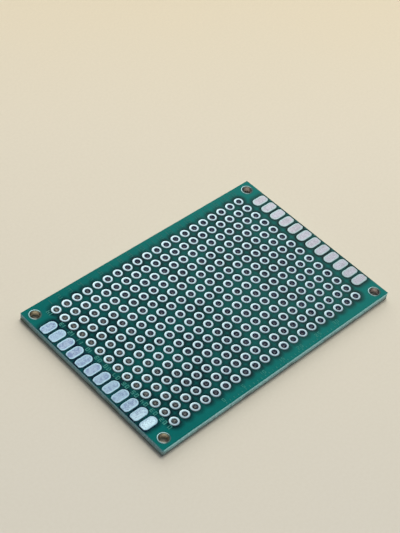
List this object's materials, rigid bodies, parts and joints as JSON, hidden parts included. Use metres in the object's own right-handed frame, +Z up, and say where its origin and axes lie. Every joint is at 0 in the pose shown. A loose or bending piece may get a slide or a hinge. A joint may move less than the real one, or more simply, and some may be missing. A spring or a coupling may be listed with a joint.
{
  "type": "prototype board",
  "caption": "Rectangular drilled circuit board with a grid of tinned plated-through holes, rounded solder pads along both short ends and a mounting hole in each corner.",
  "frame": {"origin": "centre of the underside, in the plane of the lowest pads, on which the board rests", "axes": "+X along the long side, towards the end opposite the row numbers; +Y across the board, towards the column numbers; +Z up, out of the numbered face"},
  "size_m": [0.06, 0.04, 0.0017],
  "materials": {
    "glass_epoxy": "translucent woven glass and epoxy, sawn and snapped edges",
    "solder_mask": "semi-gloss teal-green lacquer",
    "tinned_copper": "bright hot-dipped tin over copper",
    "printed_ink": "thin pale green print"
  },
  "bodies": {
    "root": {"laminate": "glass_epoxy", "solder_mask_top": "solder_mask", "solder_mask_bottom": "solder_mask", "plated_holes_01": "tinned_copper", "plated_holes_02": "tinned_copper", "plated_holes_03": "tinned_copper", "plated_holes_04": "tinned_copper", "plated_holes_05": "tinned_copper", "plated_holes_06": "tinned_copper", "plated_holes_07": "tinned_copper", "plated_holes_08": "tinned_copper", "plated_holes_09": "tinned_copper", "plated_holes_10": "tinned_copper", "plated_holes_11": "tinned_copper", "plated_holes_12": "tinned_copper", "plated_holes_13": "tinned_copper", "plated_holes_14": "tinned_copper", "plated_holes_15": "tinned_copper", "plated_holes_16": "tinned_copper", "plated_holes_17": "tinned_copper", "plated_holes_18": "tinned_copper", "plated_holes_19": "tinned_copper", "plated_holes_20": "tinned_copper", "mounting_eyelet_1": "tinned_copper", "mounting_eyelet_2": "tinned_copper", "mounting_eyelet_3": "tinned_copper", "mounting_eyelet_4": "tinned_copper", "edge_pads_left_top": "tinned_copper", "edge_pads_left_bottom": "tinned_copper", "edge_pads_right_top": "tinned_copper", "edge_pads_right_bottom": "tinned_copper", "printed_numbers": "printed_ink"}
  },
  "joints": []
}
